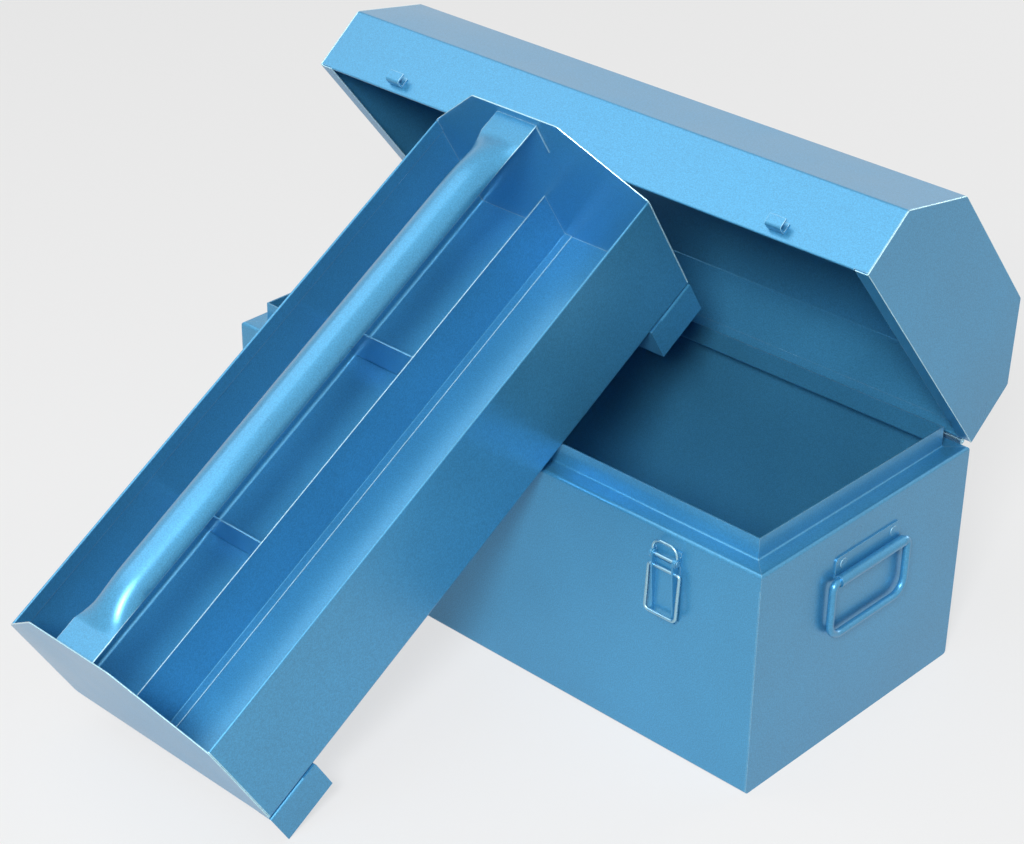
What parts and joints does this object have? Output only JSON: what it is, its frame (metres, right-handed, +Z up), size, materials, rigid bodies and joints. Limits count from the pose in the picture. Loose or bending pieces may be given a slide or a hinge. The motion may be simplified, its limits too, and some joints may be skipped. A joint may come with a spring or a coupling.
{
  "type": "portable tool box",
  "caption": "Hip-roof steel tool box standing open, its lid propped on a lift-out tote tray that leans on the front lip, with toggle latches and end ring handles.",
  "frame": {"origin": "centre of the body's underside", "axes": "+X along the length to the right, -Y towards the front, +Z up"},
  "size_m": [0.5172, 0.6082, 0.3895],
  "materials": {
    "blue_enamel": "glossy metallic blue enamel",
    "bright_steel": "bright plated steel"
  },
  "bodies": {
    "box": {"body_wrap": "blue_enamel", "body_end_left": "blue_enamel", "body_end_right": "blue_enamel", "tray_rest_left": "blue_enamel", "tray_rest_right": "blue_enamel", "hinge_leaf_body": "bright_steel", "latch_base_left": "blue_enamel", "latch_base_right": "blue_enamel", "latch_staple_left": "bright_steel", "latch_staple_right": "bright_steel", "latch_pin_left": "bright_steel", "latch_pin_right": "bright_steel", "latch_rivets": "bright_steel", "end_plate_left": "blue_enamel", "end_plate_right": "blue_enamel", "end_plate_rivets": "blue_enamel"},
    "hinge_pin": {"hinge_pin": "bright_steel"},
    "lid": {"hinge_leaf_lid": "bright_steel", "lid_cover": "blue_enamel", "lid_end_left": "blue_enamel", "lid_end_right": "blue_enamel", "strike_left": "bright_steel", "strike_right": "bright_steel"},
    "tote": {"tote_trough": "blue_enamel", "tote_end_near": "blue_enamel", "tote_end_far": "blue_enamel", "tote_divider": "blue_enamel", "tote_partition_near": "blue_enamel", "tote_partition_far": "blue_enamel", "tote_handle": "blue_enamel", "tote_foot_near": "blue_enamel", "tote_foot_far": "blue_enamel"},
    "latch_lever_left": {"latch_lever_left": "blue_enamel"},
    "latch_lever_right": {"latch_lever_right": "blue_enamel"},
    "latch_bail_left": {"latch_bail_left": "bright_steel"},
    "latch_bail_right": {"latch_bail_right": "bright_steel"},
    "end_ring_left": {"end_ring_left": "blue_enamel"},
    "end_ring_right": {"end_ring_right": "blue_enamel"}
  },
  "joints": [
    {"name": "tote_draw", "type": "slide", "parent": "box", "child": "tote", "axis": [0, -1, 0], "range_m": [0, 0.28]},
    {"name": "lid_prop", "type": "hinge", "parent": "box", "child": "hinge_pin", "pos_m": [0, 0.1185, 0.17425], "axis": [-1, 0, 0], "range_deg": [-51.01, 0]},
    {"name": "lid_hinge", "type": "hinge", "parent": "hinge_pin", "child": "lid", "pos_m": [0, 0.1185, 0.17425], "axis": [-1, 0, 0], "range_deg": [0, 59]},
    {"name": "latch_lever_left_pivot", "type": "hinge", "parent": "box", "child": "latch_lever_left", "pos_m": [-0.174, -0.1205, 0.156], "axis": [-1, 0, 0], "range_deg": [0, 135]},
    {"name": "latch_bail_left_pivot", "type": "hinge", "parent": "latch_lever_left", "child": "latch_bail_left", "pos_m": [-0.174, -0.1205, 0.147], "axis": [1, 0, 0], "range_deg": [-176, 0]},
    {"name": "end_ring_left_pivot", "type": "hinge", "parent": "box", "child": "end_ring_left", "pos_m": [-0.2546, 0, 0.135], "axis": [0, 1, 0], "range_deg": [0, 175]},
    {"name": "latch_lever_right_pivot", "type": "hinge", "parent": "box", "child": "latch_lever_right", "pos_m": [0.174, -0.1205, 0.156], "axis": [-1, 0, 0], "range_deg": [0, 135]},
    {"name": "latch_bail_right_pivot", "type": "hinge", "parent": "latch_lever_right", "child": "latch_bail_right", "pos_m": [0.174, -0.1205, 0.147], "axis": [1, 0, 0], "range_deg": [-176, 0]},
    {"name": "end_ring_right_pivot", "type": "hinge", "parent": "box", "child": "end_ring_right", "pos_m": [0.2546, 0, 0.135], "axis": [0, -1, 0], "range_deg": [0, 175]}
  ],
  "couplings": [
    {"joint": "lid_prop", "follows": "tote_draw", "rad_per_m": -3.1795}
  ]
}
